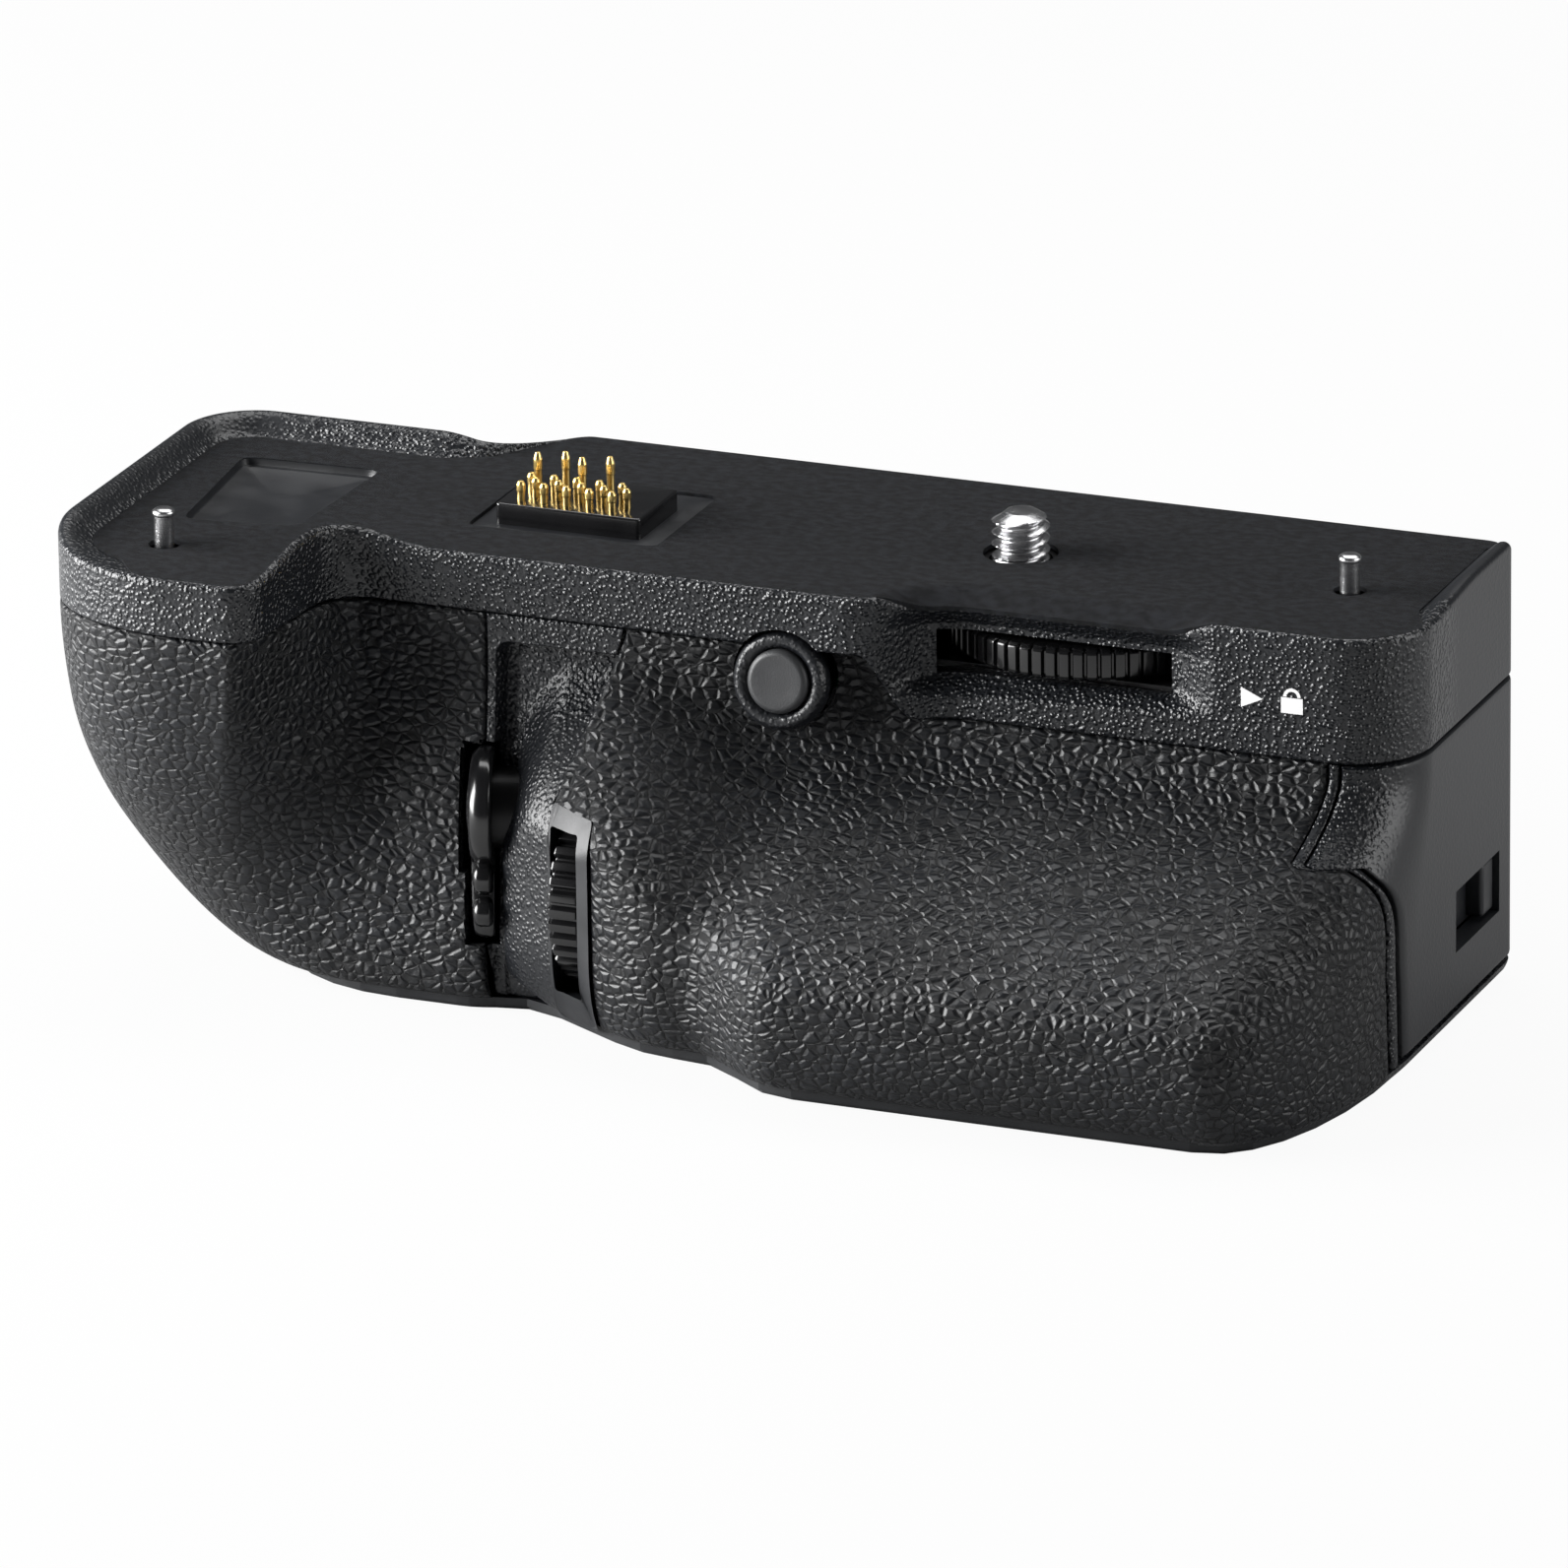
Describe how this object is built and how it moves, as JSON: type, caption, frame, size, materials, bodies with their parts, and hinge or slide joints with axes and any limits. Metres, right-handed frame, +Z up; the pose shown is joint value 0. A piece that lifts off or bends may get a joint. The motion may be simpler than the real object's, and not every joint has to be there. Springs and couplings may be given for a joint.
{
  "type": "camera battery grip",
  "caption": "Vertical battery grip that screws under a camera: rubber-covered hand grip, geared lock dial, release button, command dials, contact block and hinged battery door",
  "frame": {"origin": "where the axis of the camera screw crosses the deck", "axes": "+X along the length towards the battery door, +Y to the rear, +Z up out of the deck towards the camera"},
  "size_m": [0.146, 0.068, 0.0541],
  "materials": {
    "stippled": "fine stipple, dull sheen",
    "grained_rubber": "leather grain",
    "flock": "flocked, soft",
    "smooth_plastic": "smooth satin",
    "gloss_black": "polished",
    "button_grey": "satin",
    "steel": "turned",
    "gold": "gold plated",
    "brass": "turned",
    "white_ink": "printed",
    "board_green": "solder resist"
  },
  "bodies": {
    "grip": {"top_case": "stippled", "deck_pad": "flock", "connector_plate": "smooth_plastic", "connector_block": "gloss_black", "contacts_tall": "gold", "contacts_short": "gold", "guide_pins": "steel", "screw_bush": "brass", "lock_plate": "steel", "plate_screws": "steel", "lock_marks": "white_ink", "lower_case": "stippled", "left_cover": "grained_rubber", "hump_cover": "grained_rubber", "thumb_cover": "grained_rubber", "release_panel": "stippled", "front_bezel": "gloss_black", "fn_ring": "gloss_black", "release_bush": "steel", "rear_bezel": "gloss_black", "stick_ring": "gloss_black", "stick_base": "smooth_plastic", "base_plate": "stippled", "base_screws": "steel", "tripod_socket": "steel", "battery_sleeve": "smooth_plastic", "battery_pack": "button_grey", "battery_terminal": "gloss_black", "terminal_blades": "gold", "main_board": "board_green", "switch_boards": "board_green", "tact_switches": "button_grey", "front_axle": "steel", "rear_axle": "steel", "hinge_pin": "steel"},
    "lock_dial": {"lock_dial": "gloss_black"},
    "screw": {"mount_screw": "steel", "screw_pinion": "brass"},
    "front_dial": {"front_dial": "gloss_black"},
    "rear_dial": {"rear_dial": "gloss_black"},
    "release_button": {"release_button": "gloss_black"},
    "power_lever": {"power_lever": "gloss_black"},
    "fn_button": {"fn_button": "button_grey"},
    "rear_button_a": {"rear_button_a": "button_grey"},
    "rear_button_b": {"rear_button_b": "button_grey"},
    "stick_gimbal": {"stick_gimbal": "steel"},
    "stick": {"stick_cap": "button_grey"},
    "door": {"battery_door": "smooth_plastic"},
    "latch": {"door_latch": "gloss_black"}
  },
  "joints": [
    {"name": "lock_dial_turn", "type": "hinge", "parent": "grip", "child": "lock_dial", "pos_m": [0.00802, 0.00113, -0.0067], "axis": [0, 0, 1], "continuous": true},
    {"name": "screw_turn", "type": "hinge", "parent": "grip", "child": "screw", "pos_m": [0, 0, 0], "axis": [0, 0, 1], "continuous": true},
    {"name": "front_dial_turn", "type": "hinge", "parent": "grip", "child": "front_dial", "pos_m": [-0.0385, -0.0237, -0.0335], "axis": [1, 0, 0], "continuous": true},
    {"name": "rear_dial_turn", "type": "hinge", "parent": "grip", "child": "rear_dial", "pos_m": [-0.044, 0.0134, -0.017], "axis": [1, 0, 0], "continuous": true},
    {"name": "release_press", "type": "slide", "parent": "grip", "child": "release_button", "axis": [0.9511, 0.309, 0], "range_m": [0, 0.0008], "stiffness_N_per_m": 800},
    {"name": "power_lever_turn", "type": "hinge", "parent": "grip", "child": "power_lever", "pos_m": [-0.0512, -0.0246, -0.0263], "axis": [-0.9511, -0.309, 0], "range_deg": [0, 40]},
    {"name": "fn_press", "type": "slide", "parent": "grip", "child": "fn_button", "axis": [0, 0.9848, -0.1736], "range_m": [0, 0.0007], "stiffness_N_per_m": 800},
    {"name": "rear_a_press", "type": "slide", "parent": "grip", "child": "rear_button_a", "axis": [0, -1, 0], "range_m": [0, 0.0007], "stiffness_N_per_m": 800},
    {"name": "rear_b_press", "type": "slide", "parent": "grip", "child": "rear_button_b", "axis": [0, -1, 0], "range_m": [0, 0.0007], "stiffness_N_per_m": 800},
    {"name": "stick_up_down", "type": "hinge", "parent": "grip", "child": "stick_gimbal", "pos_m": [-0.035, 0.015, -0.03], "axis": [1, 0, 0], "range_deg": [-8, 8], "stiffness_Nm_per_rad": 0.02},
    {"name": "stick_left_right", "type": "hinge", "parent": "stick_gimbal", "child": "stick", "pos_m": [-0.035, 0.015, -0.03], "axis": [0, 0, 1], "range_deg": [-8, 8], "stiffness_Nm_per_rad": 0.02},
    {"name": "door_swing", "type": "hinge", "parent": "grip", "child": "door", "pos_m": [0.0445, 0.017, -0.03], "axis": [0, 0, 1], "range_deg": [0, 95]},
    {"name": "latch_slide", "type": "slide", "parent": "door", "child": "latch", "axis": [0, -1, 0], "range_m": [0, 0.006]}
  ],
  "couplings": [
    {"joint": "screw_turn", "follows": "lock_dial_turn", "ratio": 3.0769}
  ]
}
